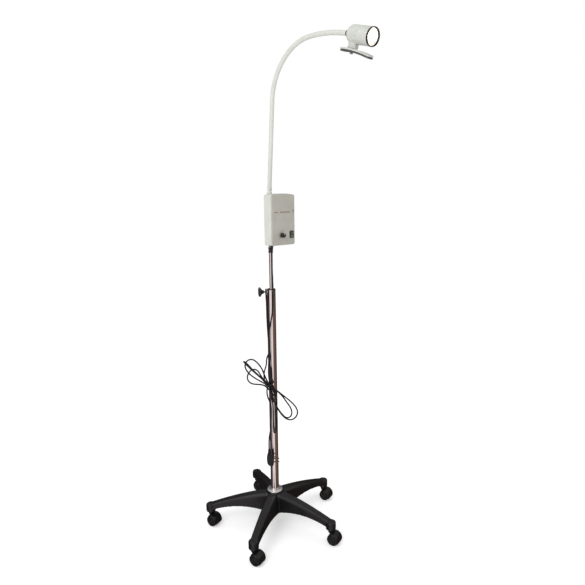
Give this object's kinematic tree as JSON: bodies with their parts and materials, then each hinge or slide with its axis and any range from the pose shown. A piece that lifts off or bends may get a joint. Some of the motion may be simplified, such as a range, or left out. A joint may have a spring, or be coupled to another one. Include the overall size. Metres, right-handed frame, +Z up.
{
  "type": "examination lamp",
  "caption": "Mobile examination lamp: castor star base, telescopic chrome pole with clamp knob, power unit with dimmer and switch, flexible neck, spot head with grip.",
  "frame": {"origin": "on the floor under the axis of the pole", "axes": "+Z up along the pole, -Y out of the front of the power unit, +X to the right of someone looking along +Y"},
  "size_m": [0.485, 0.6819, 1.6636],
  "materials": {
    "base_nylon": "satin moulded nylon",
    "castor_black": "satin moulded nylon",
    "chrome": "polished chrome plate",
    "steel": "zinc-plated",
    "black_plastic": "satin",
    "off_white": "semi-gloss powder coat",
    "neck_sleeve": "smooth plastic sleeve",
    "box_shell": "moulded plastic",
    "box_cover": "moulded plastic, fine texture",
    "transformer": "laminated steel core",
    "board": "circuit board",
    "switch_grey": "satin",
    "grip_grey": "matte",
    "glass": "clear",
    "reflector": "faceted reflector",
    "ceramic": "ceramic",
    "brass": "plated",
    "lead_rubber": "satin flexible cord"
  },
  "bodies": {
    "stand": {"base_star": "base_nylon", "base_collar": "chrome", "outer_tube": "chrome", "tube_bushing": "black_plastic", "clamp_boss": "steel", "lead_hanger": "lead_rubber", "lead_hank": "lead_rubber", "lead_tail": "lead_rubber", "plug_relief": "lead_rubber", "plug_body": "lead_rubber", "plug_blade_1": "brass", "plug_blade_2": "brass"},
    "castor_swivel_1": {"castor_stem_1": "steel", "castor_hood_1": "castor_black"},
    "castor_roller_1": {"castor_wheels_1": "castor_black"},
    "castor_swivel_2": {"castor_stem_2": "steel", "castor_hood_2": "castor_black"},
    "castor_roller_2": {"castor_wheels_2": "castor_black"},
    "castor_swivel_3": {"castor_stem_3": "steel", "castor_hood_3": "castor_black"},
    "castor_roller_3": {"castor_wheels_3": "castor_black"},
    "castor_swivel_4": {"castor_stem_4": "steel", "castor_hood_4": "castor_black"},
    "castor_roller_4": {"castor_wheels_4": "castor_black"},
    "castor_swivel_5": {"castor_stem_5": "steel", "castor_hood_5": "castor_black"},
    "castor_roller_5": {"castor_wheels_5": "castor_black"},
    "clamp": {"clamp_screw": "steel", "clamp_knob": "black_plastic"},
    "mast": {"inner_tube": "chrome", "inner_tube_guide": "black_plastic", "mast_ferrule": "chrome", "box_bracket": "off_white", "neck_socket": "off_white", "box_rear_shell": "box_shell", "box_front_cover": "box_cover", "transformer": "transformer", "circuit_board": "board", "dimmer_pot": "steel", "rocker_frame": "black_plastic", "cord_gland": "lead_rubber", "lead_upper": "lead_rubber"},
    "dimmer": {"dimmer_knob": "black_plastic"},
    "rocker": {"rocker_button": "switch_grey"},
    "neck_1": {"neck_segment_1": "neck_sleeve"},
    "neck_2": {"neck_segment_2": "neck_sleeve"},
    "neck_3": {"neck_segment_3": "neck_sleeve"},
    "neck_4": {"neck_segment_4": "neck_sleeve"},
    "neck_5": {"neck_segment_5": "neck_sleeve", "neck_end_nut": "black_plastic", "head_housing": "off_white", "front_ring": "black_plastic", "front_glass": "glass", "lamp_reflector": "reflector", "lamp_capsule": "glass", "lamp_holder": "ceramic", "grip_bracket": "off_white", "grip_plate": "off_white", "grip_pad": "grip_grey", "grip_screw": "steel"}
  },
  "joints": [
    {"name": "castor_swivel_1", "type": "hinge", "parent": "stand", "child": "castor_swivel_1", "pos_m": [0.05758, -0.23093, 0.048], "axis": [0, 0, 1], "continuous": true},
    {"name": "castor_roll_1", "type": "hinge", "parent": "castor_swivel_1", "child": "castor_roller_1", "pos_m": [0.06094, -0.24349, 0.02], "axis": [0.9659, 0.2588, 0], "continuous": true},
    {"name": "castor_swivel_2", "type": "hinge", "parent": "stand", "child": "castor_swivel_2", "pos_m": [0.23742, -0.0166, 0.048], "axis": [0, 0, 1], "continuous": true},
    {"name": "castor_roll_2", "type": "hinge", "parent": "castor_swivel_2", "child": "castor_roller_2", "pos_m": [0.24078, -0.02916, 0.02], "axis": [0.9659, 0.2588, 0], "continuous": true},
    {"name": "castor_swivel_3", "type": "hinge", "parent": "stand", "child": "castor_swivel_3", "pos_m": [0.08916, 0.22067, 0.048], "axis": [0, 0, 1], "continuous": true},
    {"name": "castor_roll_3", "type": "hinge", "parent": "castor_swivel_3", "child": "castor_roller_3", "pos_m": [0.09252, 0.20811, 0.02], "axis": [0.9659, 0.2588, 0], "continuous": true},
    {"name": "castor_swivel_4", "type": "hinge", "parent": "stand", "child": "castor_swivel_4", "pos_m": [-0.18232, 0.15298, 0.048], "axis": [0, 0, 1], "continuous": true},
    {"name": "castor_roll_4", "type": "hinge", "parent": "castor_swivel_4", "child": "castor_roller_4", "pos_m": [-0.17895, 0.14043, 0.02], "axis": [0.9659, 0.2588, 0], "continuous": true},
    {"name": "castor_swivel_5", "type": "hinge", "parent": "stand", "child": "castor_swivel_5", "pos_m": [-0.20183, -0.12612, 0.048], "axis": [0, 0, 1], "continuous": true},
    {"name": "castor_roll_5", "type": "hinge", "parent": "castor_swivel_5", "child": "castor_roller_5", "pos_m": [-0.19847, -0.13868, 0.02], "axis": [0.9659, 0.2588, 0], "continuous": true},
    {"name": "clamp_turn", "type": "hinge", "parent": "stand", "child": "clamp", "pos_m": [-0.02598, 0.015, 0.872], "axis": [-0.866, 0.5, 0], "range_deg": [-180, 180]},
    {"name": "mast_slide", "type": "slide", "parent": "stand", "child": "mast", "axis": [0, 0, 1], "range_m": [-0.12, 0.3], "deforming": ["lead_upper"]},
    {"name": "dimmer_turn", "type": "hinge", "parent": "mast", "child": "dimmer", "pos_m": [-0.009, -0.075, 1.07], "axis": [0, -1, 0], "range_deg": [-135, 135]},
    {"name": "rocker_tilt", "type": "hinge", "parent": "mast", "child": "rocker", "pos_m": [0.034, -0.0685, 1.071], "axis": [1, 0, 0], "range_deg": [-16, 0]},
    {"name": "neck_turn", "type": "hinge", "parent": "mast", "child": "neck_1", "pos_m": [0, 0, 1.213], "axis": [0, -0.0785, 0.9969], "range_deg": [-90, 90]},
    {"name": "neck_bend_1", "type": "hinge", "parent": "neck_1", "child": "neck_2", "pos_m": [0, -0.01098, 1.35257], "axis": [1, 0, 0], "range_deg": [-20, 20]},
    {"name": "neck_bend_2", "type": "hinge", "parent": "neck_2", "child": "neck_3", "pos_m": [0, -0.0241, 1.51202], "axis": [1, 0, 0], "range_deg": [-20, 20]},
    {"name": "neck_bend_3", "type": "hinge", "parent": "neck_3", "child": "neck_4", "pos_m": [0, -0.08138, 1.6147], "axis": [1, 0, 0], "range_deg": [-25, 25]},
    {"name": "neck_bend_4", "type": "hinge", "parent": "neck_4", "child": "neck_5", "pos_m": [0, -0.19124, 1.6566], "axis": [1, 0, 0], "range_deg": [-25, 25]}
  ]
}
